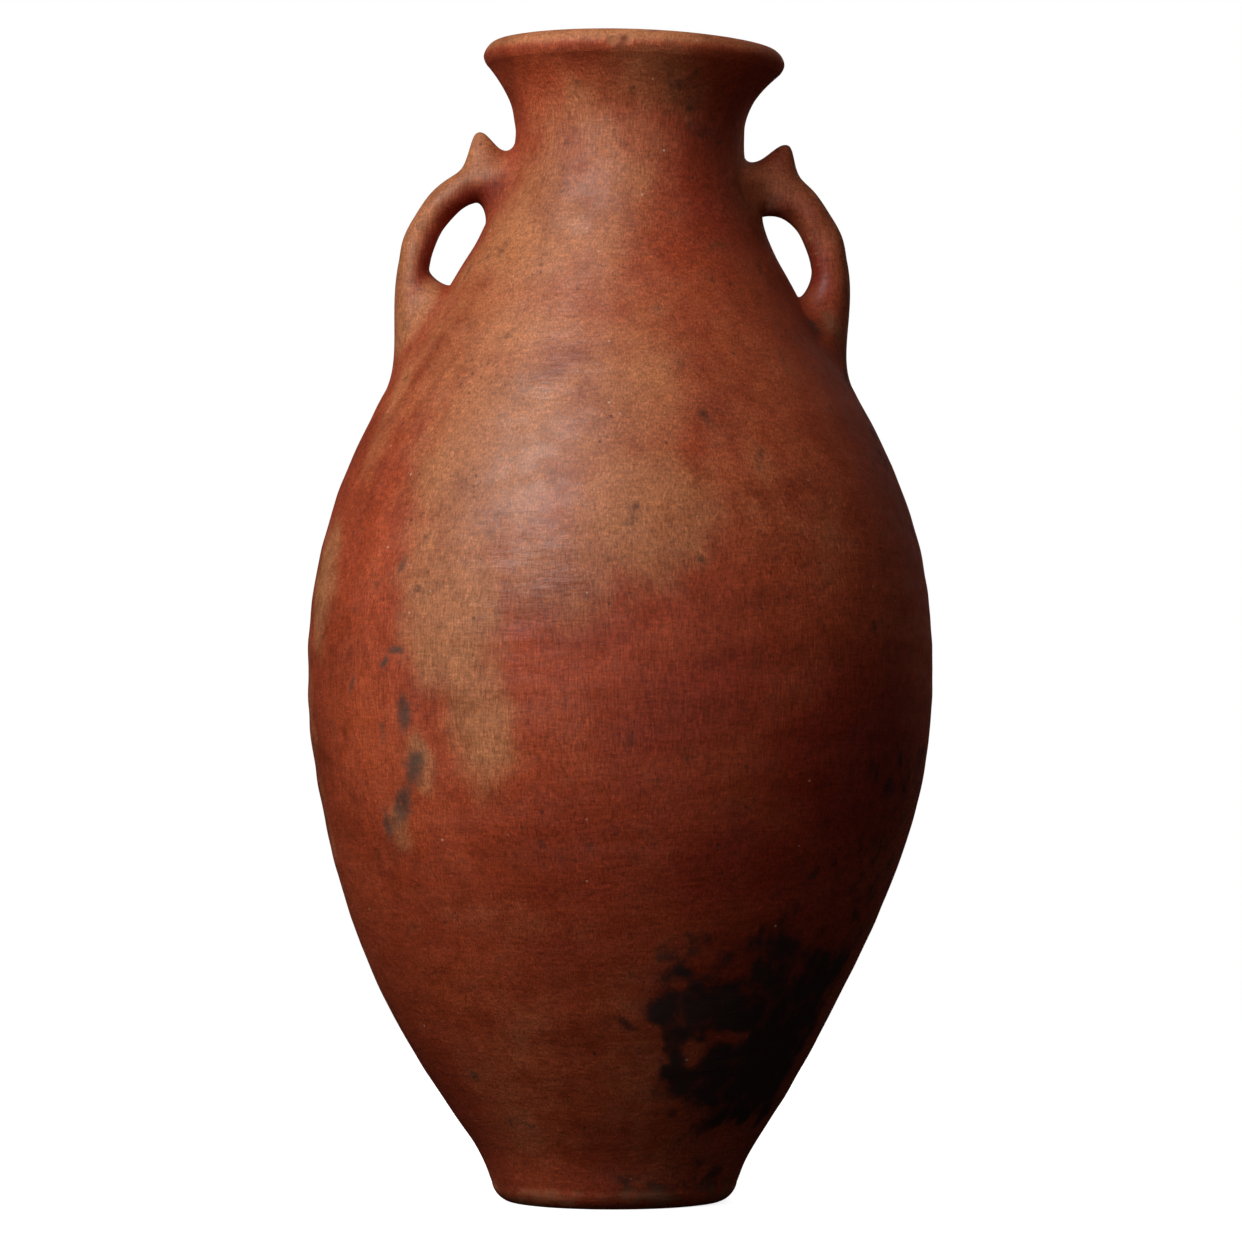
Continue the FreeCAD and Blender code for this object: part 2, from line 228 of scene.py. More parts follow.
# Each stain: bearing of its middle from the front in degrees, its height, half width and half height in mm,
# its slant in degrees, how much of its radius the fade takes, and its strength.
STAINS = {
    "tan": (
        (-27, 388, 44, 60, 0, 0.6, 0.95),
        (-12, 405, 56, 66, 0, 0.7, 0.72),
        (-31, 302, 30, 52, 0, 0.5, 0.88),
        (-25, 255, 19, 34, -6, 0.6, 0.78),
        (-14, 330, 34, 24, 0, 0.5, 0.7),
        (4, 352, 50, 32, -3, 0.45, 0.72),
        (30, 354, 54, 32, -3, 0.7, 0.34),
        (24, 415, 60, 60, 0, 0.9, 0.30),
        (0, 440, 40, 40, 0, 0.9, 0.5),
        (-12, 505, 36, 60, 0, 0.9, 0.7),
        (-38, 505, 40, 48, 0, 0.8, 0.85),
        (-25, 548, 40, 24, 0, 0.8, 0.6),
        (-36, 440, 60, 56, 0, 0.8, 0.72),
        (-56, 486, 26, 40, 0, 0.7, 0.55),
        (-73, 318, 20, 26, 0, 0.6, 0.85),
        (-80, 232, 9, 70, 0, 0.8, 0.6),
        (-38.5, 222, 7, 9, 0, 0.8, 0.7),
        (-47, 191, 8, 8, 0, 0.8, 0.7),
        (-62, 405, 16, 40, 0, 0.7, 0.5),
        (12, 572, 34, 22, 0, 0.7, 0.5),
        (-14, 80, 90, 66, 0, 0.9, 0.32),
        (-20, 150, 60, 10, 3, 0.9, 0.34),
        (128, 330, 90, 80, 12, 0.6, 0.85),
        (-150, 420, 70, 50, -15, 0.6, 0.8),
        (175, 170, 60, 40, 8, 0.7, 0.6),
        (-112, 250, 50, 60, 0, 0.7, 0.7),
        (95, 520, 40, 30, 0, 0.7, 0.6),
        (-140, 545, 40, 30, 0, 0.7, 0.6),
        (150, 480, 30, 40, 0, 0.7, 0.7),
    ),
    "orange": (
        (-50, 340, 12, 42, -16, 0.7, 0.6),
        (-62, 425, 14, 52, 0, 0.8, 0.45),
        (14, 296, 44, 15, 4, 0.7, 0.4),
        (-55, 258, 38, 58, 0, 0.8, 0.75),
        (-40, 215, 60, 40, 0, 0.9, 0.45),
        (-33, 317, 6, 11, -20, 0.8, 0.75),
        (-33, 244, 6, 14, -35, 0.7, 0.85),
        (-38, 286, 10, 16, -10, 0.7, 0.8),
        (-46, 571, 24, 18, 0, 0.8, 0.75),
        (-26, 478, 56, 22, 0, 0.9, 0.5),
        (-8, 294, 22, 14, 0, 0.8, 0.4),
        (8, 300, 20, 10, 0, 0.8, 0.4),
        (110, 210, 60, 50, 20, 0.6, 0.6),
        (-130, 320, 30, 70, 15, 0.6, 0.8),
        (165, 400, 26, 60, -20, 0.6, 0.7),
        (60, 545, 30, 20, 0, 0.7, 0.3),
    ),
    "deep_red_and_painted_shade": (
        (12, 264, 58, 44, 4, 0.6, 0.6),
        (50, 232, 70, 62, 0, 0.6, 0.85),
        (14, 430, 24, 24, 30, 0.7, 0.42),
        (19, 400, 22, 18, 0, 0.7, 0.6),
        (2, 200, 70, 40, 0, 0.9, 0.45),
        (40, 120, 90, 70, 0, 0.7, 0.7),
        (24, 178, 56, 26, 0, 0.9, 0.85),
        (0, 160, 60, 60, 0, 0.9, 0.45),
        (-50, 140, 60, 14, 4, 0.9, 0.35),
        (80, 330, 60, 190, 0, 0.9, 0.5),
        (55, 540, 40, 60, 0, 0.8, 0.6),
        (30, 30, 70, 34, 0, 0.6, 0.6),
        (-95, 60, 80, 50, 0, 0.7, 0.6),
        (150, 100, 120, 80, 0, 0.6, 0.75),
        (-170, 290, 60, 36, 10, 0.6, 0.8),
    ),
    "soot_and_painted_shade": (
        (40, 108, 56, 38, -8, 0.7, 0.7),
        (42, 72, 34, 28, 0, 0.5, 1.0),
        (52, 98, 32, 34, 0, 0.5, 1.0),
        (32, 108, 34, 18, 0, 0.6, 0.98),
        (15, 104, 15, 10, 10, 0.7, 0.98),
        (19, 90, 8, 27, 32, 0.6, 0.95),
        (20, 121, 13, 8, 0, 0.8, 0.85),
        (29, 64, 20, 14, 0, 0.6, 1.0),
        (1, 98, 15, 2.6, -22, 0.9, 0.8),
        (38, 140, 36, 15, 0, 0.9, 0.7),
        (26, 46, 7, 5, 0, 0.9, 0.5),
        (14, 433, 6, 6, 0, 0.9, 0.34),
        (19, 400, 13, 7, 0, 0.9, 0.34),
        (26, 572, 16, 12, 0, 0.9, 0.4),
        (40, 552, 12, 12, 0, 0.9, 0.34),
        (64, 205, 56, 66, 0, 0.9, 0.34),
        (82, 400, 36, 80, 0, 0.9, 0.3),
        (-4, 186, 46, 9, 2, 0.9, 0.2),
        (30, 12, 50, 14, 0, 0.7, 0.4),
        (-160, 120, 50, 40, 12, 0.5, 0.9),
        (-175, 150, 24, 18, 0, 0.6, 0.8),
        (130, 250, 16, 40, 25, 0.7, 0.6),
        (170, 520, 34, 30, 0, 0.8, 0.4),
    ),
    "polished": (
        (-17, 385, 37, 76, 5, 0.35, 1.0),
        (-15, 470, 30, 26, 0, 0.6, 0.6),
        (-48, 470, 14, 40, -20, 0.6, 0.5),
        (20, 300, 60, 30, 0, 0.7, 0.4),
        (-30, 180, 40, 30, 0, 0.7, 0.5),
        (140, 380, 50, 66, -10, 0.4, 0.9),
        (-135, 390, 44, 70, 12, 0.4, 0.9),
        (60, 380, 30, 60, 0, 0.5, 0.7),
        (175, 250, 60, 40, 0, 0.6, 0.6),
    ),
    "smudge": (
        (-43, 238, 16, 34, -6, 0.9, 0.16),
        (-44, 285, 7.5, 2.6, -6, 0.7, 1.0),
        (-47.4, 279, 3.2, 4.6, -35, 0.7, 1.0),
        (-58, 269, 2.4, 9, -24, 0.7, 0.85),
        (-41.5, 247, 5, 11, -6, 0.85, 1.0),
        (-47.8, 237, 3.6, 8, 0, 0.8, 0.6),
        (-38.5, 230, 5, 6, 0, 0.9, 0.5),
        (-40.5, 221, 4.6, 9.5, -46, 0.85, 1.0),
        (-44.5, 206, 5, 13, -40, 0.85, 1.0),
        (-50, 194, 3.6, 6, -10, 0.8, 0.85),
        (-41.8, 331, 2.4, 7, -20, 0.8, 0.7),
        (-21, 321, 1.8, 5, 10, 0.8, 0.6),
        (-24, 345, 2, 4, 0, 0.9, 0.5),
        (-31, 364, 2, 4, -10, 0.9, 0.45),
        (-66, 247, 2, 9, 0, 0.9, 0.5),
        (6, 198, 3, 3, 0, 0.9, 0.4),
        (140, 300, 5, 12, 20, 0.7, 0.9),
        (135, 270, 4, 9, 10, 0.7, 0.8),
        (-120, 200, 5, 8, -20, 0.7, 0.8),
    ),
}
# Bare windows left in the soot.
CLEAR = ((26, 83, 6.5, 9, 0, 0.6, 0.8), (33, 90, 9, 4.5, -10, 0.7, 0.7), (18, 118, 5, 5, 0, 0.8, 0.65))
SMUDGE_WANDER = 0.6
# The neck's slip is dull from this far under the throat, fading in over this much height.
DULL_BELOW, DULL_FADE = 55 * MM, 60 * MM


# What paint is given for the lip and the handles also holds painted light and painted shade.
def paint(piece, **more):
    """Stores the stains of each point, every stain moved about by slow and quick swells so that its edge
    wanders, and any other values given, which only ever add to them. dull fades in towards the neck."""
    points = points_of(piece)
    height = points[:, 2]
    bearing = np.arctan2(points[:, 1], points[:, 0] - middle(height))
    local = along_wall(height, *OUTLINE)

    def wandering(seed):
        slow = 4.5 * swells(bearing, height, seed, 7, 0.09)
        quick = 1.6 * swells(bearing, height, seed + 1, 34, 0.022, 60)
        return (slow + quick) * MM

    sideways, upwards = wandering(31), wandering(33)

    def strongest(rows, wander=1.0):
        at = bearing + wander * sideways / local, height + wander * upwards
        return np.max([row[6] * stain(*at, row[:2], row[2:4], row[4], row[5]) for row in rows], axis=0)

    for name, rows in STAINS.items():
        value = strongest(rows, SMUDGE_WANDER if name == "smudge" else 1.0)
        if name == "soot_and_painted_shade":
            value = value * (1 - strongest(CLEAR))
        store(piece, name, np.maximum(value, more.get(name, 0)))
    for name in ("worn", "inside"):
        store(piece, name, np.broadcast_to(more.get(name, 0.0), height.shape))
    store(piece, "dull", ease((height - THROAT + DULL_BELOW) / DULL_FADE))


# ---- Materials ----


def add(tree, kind, values=(), **settings):
    """Adds a node, with its settings, and fills its sockets: a socket is joined, anything else is set."""
    made = tree.nodes.new(kind)
    for key, value in settings.items():
        setattr(made, key, value)
    for key, value in dict(values).items():
        if isinstance(value, bpy.types.NodeSocket):
            tree.links.new(value, made.inputs[key])
        else:
            made.inputs[key].default_value = value
    return made


def noise(tree, place, scale, detail=4.0, rough=0.5):
    return add(
        tree, "ShaderNodeTexNoise", {"Vector": place, "Scale": scale, "Detail": detail, "Roughness": rough}
    ).outputs["Fac"]


def stretched(tree, place, scale):
    return add(tree, "ShaderNodeMapping", {"Vector": place, "Scale": scale}).outputs[0]


def sums(tree, how, *values):
    """One step of arithmetic on two values, or on three: MULTIPLY_ADD is the first times the second, plus
    the third."""
    return add(tree, "ShaderNodeMath", dict(enumerate(values)), operation=how).outputs[0]


def between(tree, value, low, high, start=0.0, end=1.0):
    """Eases from start to end as value goes from low to high."""
    values = {"Value": value, 1: low, 2: high, 3: start, 4: end}
    return add(tree, "ShaderNodeMapRange", values, interpolation_type="SMOOTHSTEP").outputs[0]


def blend_colour(tree, share, first, second):
    return add(tree, "ShaderNodeMix", {0: share, 6: first, 7: second}, data_type="RGBA").outputs[2]


def stored(tree, name):
    return add(tree, "ShaderNodeAttribute", attribute_name=name).outputs["Fac"]


RED = (0.315, 0.046, 0.0145, 1)
ORANGE = (0.43, 0.074, 0.024, 1)
DEEP_RED = (0.195, 0.0148, 0.0060, 1)
# The scorched brown and the soot black also colour painted shade in the handles' crooks.
SCORCHED_AND_PAINTED_SHADE = (0.062, 0.013, 0.0075, 1)
OCHRE = (0.40, 0.142, 0.055, 1)
ASH = (0.055, 0.043, 0.030, 1)
SOOT_AND_PAINTED_SHADE = (0.027, 0.0135, 0.012, 1)
BARE_CLAY = (0.42, 0.175, 0.08, 1)
INNER_CLAY = (0.30, 0.12, 0.06, 1)
GRIT = (0.62, 0.42, 0.30, 1)
SLIP_SHINE = 0.39
GRIT_SHARE = 0.025
RELIEF_STRENGTH, RELIEF_DEPTH = 0.55, 0.35 * MM


def burnished_slip(name, gloss, stroke_depth):
    """Fired slip: stains blended with ragged edges, mottled at three sizes, with upright burnishing strokes,
    pits and pale grit. gloss is its roughness away from the polished and the missed patches. A noise's three
    numbers are its waves in a metre, its octaves and how strong the finer ones are."""
    material = bpy.data.materials.new(name)
    material.use_nodes = True
    tree = material.node_tree
    surface = tree.nodes["Principled BSDF"]
    surface.inputs["Specular IOR Level"].default_value = SLIP_SHINE
    place = add(tree, "ShaderNodeTexCoord").outputs["Object"]
    drifts = noise(tree, place, 8.0, 5.0, 0.55)
    clouds = noise(tree, place, 24.0, 4.5, 0.6)
    mottle = noise(tree, place, 95.0, 3.5, 0.6)
    grain = noise(tree, place, 1100.0, 3.0, 0.6)
    strokes = noise(tree, stretched(tree, place, (1, 1, 0.13)), 1150.0, 3.0, 0.65)
    weave = noise(tree, stretched(tree, place, (0.3, 0.3, 1)), 800.0, 2.0, 0.6)
    levels = noise(tree, stretched(tree, place, (0.22, 0.22, 1)), 120.0, 4.0, 0.6)

    def swing(fac, amount):
        """How much a noise lifts or lowers something: its gap from one half, times amount."""
        return sums(tree, "MULTIPLY_ADD", fac, amount, -amount / 2)

    def ragged(stain_name, wander, fray, low, high):
        """A stored stain whose edge the clouds make wander and the mottle frays."""
        edge = sums(tree, "ADD", swing(clouds, wander), swing(mottle, fray))
        return between(tree, sums(tree, "ADD", stored(tree, stain_name), edge), low, high)

    streaky = sums(tree, "ADD", swing(strokes, 0.22), swing(drifts, 0.8))
    # The stored tan also holds painted light on the lip band and the handles' outer sides, and the stored
    # deep red holds painted shade on the handles' inner sides.
    ochre = sums(tree, "ADD", ragged("tan", 0.9, 0.30, -0.15, 1.15), streaky)
    colour = blend_colour(tree, ragged("deep_red_and_painted_shade", 0.9, 0.35, 0.0, 1.1), RED, DEEP_RED)
    colour = blend_colour(tree, ragged("orange", 0.9, 0.35, 0.1, 1.1), colour, ORANGE)
    colour = blend_colour(tree, between(tree, ochre, 0.0, 1.1), colour, OCHRE)
    tone = sums(tree, "ADD", swing(drifts, 0.7), 1.0)
    for fac, amount in ((clouds, 0.9), (mottle, 0.65), (weave, 0.9), (strokes, 1.8), (grain, 1.3)):
        tone = sums(tree, "MULTIPLY", tone, sums(tree, "ADD", swing(fac, amount), 1.0))
    colour = add(tree, "ShaderNodeVectorMath", {0: colour, 3: tone}, operation="SCALE").outputs[0]
    specks = noise(tree, stretched(tree, place, (1, 1, 0.6)), 420.0, 4.0, 0.65)
    ash = sums(tree, "ADD", ragged("smudge", 0.8, 1.6, 0.0, 1.0), swing(strokes, 1.2))
    ash = sums(tree, "ADD", ash, swing(specks, 2.6))
    ash = sums(tree, "MULTIPLY", between(tree, ash, 0.1, 1.0), stored(tree, "smudge"))
    colour = blend_colour(tree, sums(tree, "MULTIPLY", ash, 0.85), colour, ASH)
    # The stored soot also holds painted shade from the handles' inner crooks, so this haze and the soot black
    # below darken them as painted shade.
    haze_and_painted_shade = ragged("soot_and_painted_shade", 1.2, 1.4, 0.05, 0.85)
    colour = blend_colour(tree, sums(tree, "MULTIPLY", haze_and_painted_shade, 0.8), colour, SCORCHED_AND_PAINTED_SHADE)
    soot_and_painted_shade = ragged("soot_and_painted_shade", 1.4, 1.9, 0.35, 1.05)
    colour = blend_colour(tree, sums(tree, "MULTIPLY", soot_and_painted_shade, 0.95), colour, SOOT_AND_PAINTED_SHADE)
    worn = ragged("worn", 1.2, 0.9, 0.3, 0.75)
    worn_clay = blend_colour(tree, between(tree, mottle, 0.45, 0.75, 0.0, 0.55), BARE_CLAY, DEEP_RED)
    colour = blend_colour(tree, sums(tree, "MULTIPLY", worn, 0.8), colour, worn_clay)

    pit_field = add(
        tree, "ShaderNodeTexVoronoi", {"Vector": place, "Scale": 140.0, "Randomness": 1.0}
    ).outputs["Distance"]
    rare = between(tree, noise(tree, place, 60.0, 2.0), 0.52, 0.62)
    pits = sums(tree, "MULTIPLY", between(tree, pit_field, 0.20, 0.06), rare)
    colour = blend_colour(tree, sums(tree, "MULTIPLY", pits, 0.55), colour, SOOT_AND_PAINTED_SHADE)
    grit_field = add(tree, "ShaderNodeTexVoronoi", {"Vector": place, "Scale": 180.0, "Randomness": 1.0})
    grit = between(tree, grit_field.outputs["Distance"], 0.16, 0.07)
    picked = add(tree, "ShaderNodeSeparateColor", {0: grit_field.outputs["Color"]}).outputs[0]
    grit = sums(tree, "MULTIPLY", grit, sums(tree, "GREATER_THAN", picked, 1 - GRIT_SHARE))
    colour = blend_colour(tree, sums(tree, "MULTIPLY", grit, 0.6), colour, GRIT)
    inside = stored(tree, "inside")
    inner = blend_colour(tree, clouds, INNER_CLAY, DEEP_RED)
    colour = blend_colour(tree, inside, colour, inner)
    tree.links.new(colour, surface.inputs["Base Color"])

    patches = noise(tree, stretched(tree, place, (1, 1, 1.5)), 42.0, 5.0, 0.6)
    missed = between(tree, patches, 0.44, 0.55, 0.12, 0.0)
    uneven = sums(tree, "ADD", swing(clouds, 0.16), swing(strokes, 0.12))
    rough = sums(tree, "ADD", sums(tree, "ADD", missed, gloss), uneven)
    polished = ragged("polished", 0.8, 0.7, 0.25, 0.75)
    dull = stored(tree, "dull")
    for mask, more in (
        (polished, -0.06), (soot_and_painted_shade, 0.16), (ash, 0.12), (worn, 0.30), (inside, 0.35), (pits, 0.3), (dull, 0.10)
    ):
        rough = sums(tree, "MULTIPLY_ADD", mask, more, rough)
    tree.links.new(rough, surface.inputs["Roughness"])

    relief = sums(tree, "MULTIPLY", levels, 3.4)
    scuffs = sums(tree, "MULTIPLY", worn, grain)
    for field, depth in (
        (strokes, stroke_depth), (mottle, 0.9), (weave, 0.16), (grain, 0.22), (pits, -0.5), (scuffs, 0.5)
    ):
        relief = sums(tree, "MULTIPLY_ADD", field, depth, relief)
    sockets = {"Height": relief, "Strength": RELIEF_STRENGTH, "Distance": RELIEF_DEPTH}
    tree.links.new(add(tree, "ShaderNodeBump", sockets).outputs[0], surface.inputs["Normal"])
    return material


# ---- Pieces ----


def stand(piece, slot, material, *nodes):
    """Finishes a piece: it rides on the jar, stands for its CAD nodes and takes the material. slot is not
    used.
    """
    piece.data.materials.append(material)
    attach(piece, "root")
    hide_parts(*nodes)
    return piece


def around():
    return np.linspace(0, 2 * math.pi, ROUND, endpoint=False)[None, :]


# A course has a row for each ROW_HEIGHT of its outside, FEWEST_ROWS at least, and INNER_ROWS inside.
ROW_HEIGHT, FEWEST_ROWS, INNER_ROWS = 1.5 * MM, 56, 24


def course(name, low, high, material):
    """One course of the wall: up the outer skin, across the joint, down the inner skin and back."""
    outer = np.linspace(low, high, max(FEWEST_ROWS, int((high - low) / ROW_HEIGHT)))
    inner = np.linspace(high, low, INNER_ROWS)
    depth = np.concatenate([np.zeros(len(outer)), along_wall(inner, *THICKNESS)])[:, None]
    heights = np.concatenate([outer, inner])[:, None]
    piece = closed_piece(name + "_burnished", skin(around(), heights, depth))
    paint(piece, inside=np.repeat((depth > 0).astype(float).ravel(), ROUND))
    return stand(piece, "wall_slip", material, name)


def turned_rows(profile):
    """Rows of points for a turned profile of (radius, height) pairs."""
    radius, height = np.array(profile).T[:, :, None]
    return radius, height


def arc_through(start, bulge, end, count):
    """Points of the circle arc from start to end that passes through bulge."""
    (ax, ay), (bx, by), (cx, cy) = start, bulge, end
    twice = 2 * (ax * (by - cy) + bx * (cy - ay) + cx * (ay - by))
    a2, b2, c2 = ax * ax + ay * ay, bx * bx + by * by, cx * cx + cy * cy
    ox = (a2 * (by - cy) + b2 * (cy - ay) + c2 * (ay - by)) / twice
    oy = (a2 * (cx - bx) + b2 * (ax - cx) + c2 * (bx - ax)) / twice
    spans = [math.atan2(y - oy, x - ox) for x, y in (start, bulge, end)]
    turn = 1 if twice > 0 else -1
    sweep = (spans[2] - spans[0]) * turn % (2 * math.pi) * turn
    angles = spans[0] + sweep * np.linspace(0, 1, count)
    reach = math.hypot(ax - ox, ay - oy)
    return np.stack([ox + reach * np.cos(angles), oy + reach * np.sin(angles)], -1)


def line(start, end, count):
    share = np.linspace(0, 1, count)[:, None]
    return np.array(start) * (1 - share) + np.array(end) * share


FOOT_REST, FOOT_EDGE = (55.5 * MM, 0.0), (63.5 * MM, 9.5 * MM)
FLOOR_TOP, FLOOR_COVE, POLE_RING = 14 * MM, 14.5 * MM, 2 * MM
# How far out and up, as shares, each round of the foot bulges between its ends.
EDGE_BULGE, COVE_BULGE = (0.68, 0.4), (0.66, 0.3)
FOOT_WEAR, WEAR_TOP, WEAR_FADE = 0.62, 20 * MM, 14 * MM


def base_disc(material):
    """The foot: flat underneath, a worn round edge, a short flare to the wall, and a coved floor inside."""
    rest, edge = FOOT_REST, FOOT_EDGE
    edge_bulge = (rest[0] + EDGE_BULGE[0] * (edge[0] - rest[0]), EDGE_BULGE[1] * edge[1])
    outside, inside = (FOOT_RADIUS, FOOT_TOP), (FOOT_RADIUS - THICKNESS[0], FOOT_TOP)
    floor_edge = (inside[0] - FLOOR_COVE, FLOOR_TOP)
    cove = (floor_edge[0] + COVE_BULGE[0] * FLOOR_COVE, FLOOR_TOP + COVE_BULGE[1] * (FOOT_TOP - FLOOR_TOP))
    profile = np.vstack([
        line((POLE_RING, 0), rest, 30)[:-1],
        arc_through(rest, edge_bulge, edge, 16)[:-1],
        line(edge, outside, 16)[:-1],
        line(outside, inside, 6)[:-1],
        arc_through(inside, cove, floor_edge, 12)[:-1],
        line(floor_edge, (POLE_RING, FLOOR_TOP), 12),
    ])
    radius, height = turned_rows(profile)
    grid = skin(around(), height, 0.0, radius)
    poles = np.array([(middle(0.0), 0, 0), (middle(0.0), 0, FLOOR_TOP)])
    piece = closed_piece("base_disc_worn", grid, poles)
    across, away, height = points_of(piece).T
    floor_inside = (np.hypot(across, away) < inside[0]) & (height > 5 * MM)
    left_side = 0.65 - 0.35 * across / FOOT_RADIUS
    rubbed = ease((WEAR_TOP - height) / WEAR_FADE) * FOOT_WEAR * left_side * ~floor_inside
    paint(piece, worn=rubbed, inside=floor_inside * 1.0)
    return stand(piece, "foot_clay", material, "base_disc")


# Out from the lip joint's radius and up from it, in mm.
LIP_OUTLINE = (
    (0, 0), (1.2, 2.0), (1.9, 4.4), (1.2, 7.2), (-1.0, 10.2), (-4.0, 11.9), (-7.0, 11.5), (-8.6, 9.6)
)
LIP_RISE = 12 * MM
# Each chip: its bearing from the front in degrees and its rise in mm, its depth, and its half sizes in mm.
LIP_CHIPS = (
    ((-8.2, 5.6), 1.5, (2.5, 2.2)),
    ((-3.0, 6.0), 1.4, (2.2, 2.2)),
    ((-13.0, 8.0), 0.6, (2.0, 1.4)),
    ((31.0, 9.4), 0.5, (4.0, 1.6)),
    ((-38.0, 9.8), 0.4, (3.0, 1.4)),
    ((118.0, 9.0), 0.8, (3.5, 2.2)),
    ((-140.0, 9.5), 0.6, (3.0, 2.0)),
)


def lip_coil(material):
    """The lip: one rounded curve over nose, sloping band and crest, closed by its joint, with small chips
    that are rounded pits."""
    inside, outside = (LIP_RADIUS - THICKNESS[3], LIP), (LIP_RADIUS, LIP)
    crest = np.array([(LIP_RADIUS + out * MM, LIP + rise * MM) for out, rise in LIP_OUTLINE])
    profile = np.vstack([
        smooth_path(crest, 60),
        line(crest[-1], inside, 8)[1:-1],
        line(inside, outside, 6)[:-1],
    ])
    radius, height = turned_rows(profile)
    bearing = around()
    chips = np.zeros((len(profile), ROUND))
    for at, depth, size in LIP_CHIPS:
        gap = (bearing - FRONT - math.radians(at[0]) + math.pi) % (2 * math.pi) - math.pi
        across = gap * LIP_RADIUS / (size[0] * MM)
        up = (height - LIP - at[1] * MM) / (size[1] * MM)
        chips += depth * MM * np.exp(-((across**2 + up**2) ** 1.5)) * (radius > LIP_RADIUS - 6 * MM)
    piece = closed_piece("lip_coil_burnished", skin(bearing, height, chips, radius))
    over = (height - LIP) / LIP_RISE + 0 * bearing
    # The tan on the band is partly the slip's own colour and partly painted light on its upward-facing round,
    # with less of it on the right side, away from the light.
    band_tan_and_painted_light = ease((over - 0.20) / 0.55)
    worn = np.maximum(ease((over - 0.70) / 0.25) * 0.42, np.minimum(chips / (0.8 * MM), 1.0) * 0.9)
    within = ease((LIP_RADIUS - 6.5 * MM - radius) / (2 * MM)) + 0 * bearing
    side = 0.85 - 0.35 * ease(np.cos(bearing))
    more = {"worn": worn * (1 - within), "tan": band_tan_and_painted_light * side * (1 - within), "inside": 0.7 * within}
    paint(piece, **{mark: value.ravel() for mark, value in more.items()})
    return stand(piece, "lip_slip", material, "lip_coil")


# ---- Handles ----

# Each handle: its way along X; the strap's thickness and how far it is bowed out, in mm; how much it swells
# inwards at the upper root; how far out from the middle line the horn stands and its height, in mm, and its
# lean; how far the slip has turned to ochre; how far the upper and then the lower root reach up the wall on
# the strap's outer and inner sides, in mm; and how straight the clay runs across the upper and the lower
# corner of the opening.
HANDLES = (
    {
        "side": "left", "way": -1, "thickness": 16.5, "bow": 1.7, "swell": 0.15,
        "horn_out": 73.4, "horn_rise": 17.0, "horn_lean": 0.08, "ochre": 0.95,
        "roots": (21, 24, -29, -29), "fills": (0.0, 0.4),
    },
    {
        "side": "right", "way": 1, "thickness": 19.4, "bow": 1.4, "swell": 0.75,
        "horn_out": 82.6, "horn_rise": 12.4, "horn_lean": 0.30, "ochre": 0.4,
        "roots": (17, 29, -22, -28), "fills": (0.85, 0.0),
    },
)
STRAP_WIDTH, STRAP_SET_BACK = 24 * MM, 1.4 * MM
UPPER_ROOT, HANDLE_HEIGHT = THROAT - 25 * MM, 90 * MM
LOWER_ROOT = UPPER_ROOT - HANDLE_HEIGHT
LOWER_LANDING = LOWER_ROOT + 7 * MM
UPPER_HALF_WIDTH, LOWER_HALF_WIDTH = 29 * MM, 38 * MM
# Out from the throat as a share of the reach to the shoulder, and down from the upper root as a share of the
# handle's height.
STRAP_PATH = np.array((
    (-0.17, 0.0), (0.44, 0.035), (0.73, 0.18), (0.89, 0.33),
    (0.98, 0.52), (1.0, 0.69), (0.95, 0.96), (0.85, 1.22),
))
# Points of a section, rings of the whole path, and the first and last of the rings that make the strap.
SECTION, PATH_RINGS = 96, 220
STRAP_START, STRAP_END = 44, 117
UPPER_ROWS, LOWER_ROWS = 46, 70
SKIN_SINK = 0.12 * MM
SWELL_REACH = 0.23
# Half widths of a horn outwards, inwards and across, in mm.
HORN_OUTWARDS, HORN_INWARDS, HORN_ACROSS = 6.5, 9.5, 7.5


def smooth_path(points, count):
    """Curve through the points: a cubic on each span, with the slopes of the chords on both sides of each
    point, then spread evenly along its length."""
    gaps = np.hypot(*np.diff(points, axis=0).T)
    at = np.concatenate([[0], np.cumsum(gaps)])
    slopes = np.gradient(points, at, axis=0)
    fine = np.linspace(0, at[-1], 600)
    step = np.clip(np.searchsorted(at, fine, side="right") - 1, 0, len(gaps) - 1)
    span = gaps[step][:, None]
    share = (fine[:, None] - at[step][:, None]) / span
    curve = hermite(points[step], slopes[step] * span, points[step + 1], slopes[step + 1] * span, share)
    length = np.concatenate([[0], np.cumsum(np.hypot(*np.diff(curve, axis=0).T))])
    even = np.linspace(0, length[-1], count)
    return np.stack([np.interp(even, length, curve[:, 0]), np.interp(even, length, curve[:, 1])], -1)


def hermite(start, start_slope, end, end_slope, share):
    """Cubic from start to end that leaves and arrives along the two slopes."""
    square, cube = share * share, share**3
    leave = start * (2 * cube - 3 * square + 1) + start_slope * (cube - 2 * square + share)
    return leave + end * (3 * square - 2 * cube) + end_slope * (cube - square)


def landing(way, root, half_wide, half_out, half_in, spread, depth):
    """Ring on the wall round a handle's root, spread 1 at its edge and 0 at its middle. half_out is its
    reach up or down the wall on the strap's outer side, and half_in on its inner side."""
    turn = np.linspace(0, 2 * math.pi, SECTION, endpoint=False)
    rise = np.where(np.sin(turn) > 0, half_out, half_in) * np.sin(turn) * spread
    height = root + rise
    local = along_wall(height, *OUTLINE)
    bearing = (RIGHT if way > 0 else LEFT) + way * np.cos(turn) * half_wide * spread / local
    return skin(bearing, height, depth)


